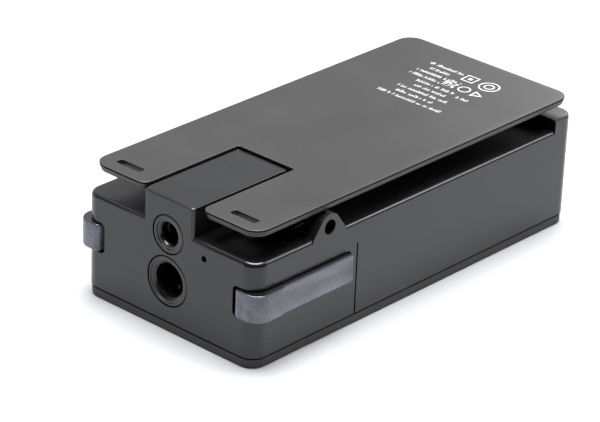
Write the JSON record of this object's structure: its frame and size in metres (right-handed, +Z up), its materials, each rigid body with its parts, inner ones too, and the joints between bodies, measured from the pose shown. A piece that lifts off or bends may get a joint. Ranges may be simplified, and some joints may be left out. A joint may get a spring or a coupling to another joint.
{
  "type": "wireless bodypack transmitter",
  "caption": "Belt-worn wireless audio transmitter with a sprung belt clip, jack sockets, squeeze latches and a hinged battery door.",
  "frame": {"origin": "centre of the footprint, on the plane that the front frame rests on", "axes": "+Z up out of the belt clip, +Y from the jack end to the far end, +X towards the side with the pinhole"},
  "size_m": [0.0444, 0.0878, 0.0258],
  "materials": {
    "housing": "satin moulded black",
    "clip_paint": "satin dark grey powder coat",
    "smoked_plastic": "smoked translucent blue-grey",
    "jack_plastic": "gloss black",
    "inner_plastic": "matt dark grey",
    "circuit_board": "green solder mask",
    "steel": "bright",
    "cell_jacket": "printed film, dark",
    "tin": "tin plate",
    "display_glass": "clear, dark behind",
    "button_rubber": "matt grey"
  },
  "bodies": {
    "housing": {"rear_shell": "housing", "front_frame": "housing", "frame_screw_1": "steel", "frame_screw_2": "steel", "frame_screw_3": "steel", "frame_screw_4": "steel", "door_hinge_pin": "steel", "latch_spring_left": "steel", "latch_spring_right": "steel", "clip_pin_left": "steel", "clip_pin_right": "steel", "guitar_jack_collar": "jack_plastic", "guitar_jack_body": "jack_plastic", "guitar_jack_contact": "tin", "mic_jack_collar": "jack_plastic", "mic_jack_body": "jack_plastic", "inner_tray": "inner_plastic", "battery_cell_1": "cell_jacket", "battery_cell_2": "cell_jacket", "contact_plate_1": "tin", "contact_plate_2": "tin", "contact_spring_1": "tin", "contact_spring_2": "tin", "main_board": "circuit_board", "radio_chip": "jack_plastic", "audio_chip": "jack_plastic", "jack_board": "circuit_board", "board_flex": "inner_plastic", "sync_switch": "tin", "rf_shield": "tin", "antenna": "tin", "control_panel": "inner_plastic", "display_window": "display_glass", "display_module": "jack_plastic", "control_board": "circuit_board"},
    "clip": {"clip_plate": "clip_paint", "clip_bracket_left": "steel", "clip_bracket_right": "steel", "clip_spring_left": "steel", "clip_spring_right": "steel"},
    "door": {"battery_door": "housing"},
    "left_latch": {"latch_left": "smoked_plastic"},
    "right_latch": {"latch_right": "smoked_plastic"},
    "set_key": {"set_button": "button_rubber"},
    "power_key": {"power_button": "button_rubber"},
    "sync_key": {"sync_plunger": "jack_plastic"}
  },
  "joints": [
    {"name": "clip_hinge", "type": "hinge", "parent": "housing", "child": "clip", "pos_m": [0, -0.02463, 0.0215], "axis": [1, 0, 0], "range_deg": [0, 12], "stiffness_Nm_per_rad": 0.48, "springref_deg": -5.73, "deforming": ["clip_spring_left", "clip_spring_right"]},
    {"name": "door_hinge", "type": "hinge", "parent": "housing", "child": "door", "pos_m": [0, 0.04047, 0.00145], "axis": [1, 0, 0], "range_deg": [0, 95]},
    {"name": "left_latch_slide", "type": "slide", "parent": "housing", "child": "left_latch", "axis": [1, 0, 0], "range_m": [0, 0.00075], "stiffness_N_per_m": 800, "springref_m": -0.0007, "deforming": ["latch_spring_left"]},
    {"name": "right_latch_slide", "type": "slide", "parent": "housing", "child": "right_latch", "axis": [-1, 0, 0], "range_m": [0, 0.00075], "stiffness_N_per_m": 800, "springref_m": -0.0007, "deforming": ["latch_spring_right"]},
    {"name": "set_button_press", "type": "slide", "parent": "housing", "child": "set_key", "axis": [0, 0, 1], "range_m": [0, 0.0004], "stiffness_N_per_m": 1200, "springref_m": -0.0003},
    {"name": "power_button_press", "type": "slide", "parent": "housing", "child": "power_key", "axis": [0, 0, 1], "range_m": [0, 0.0004], "stiffness_N_per_m": 1200, "springref_m": -0.0003},
    {"name": "sync_press", "type": "slide", "parent": "housing", "child": "sync_key", "axis": [0, 1, 0], "range_m": [0, 0.00025], "stiffness_N_per_m": 1500, "springref_m": -0.0003}
  ]
}
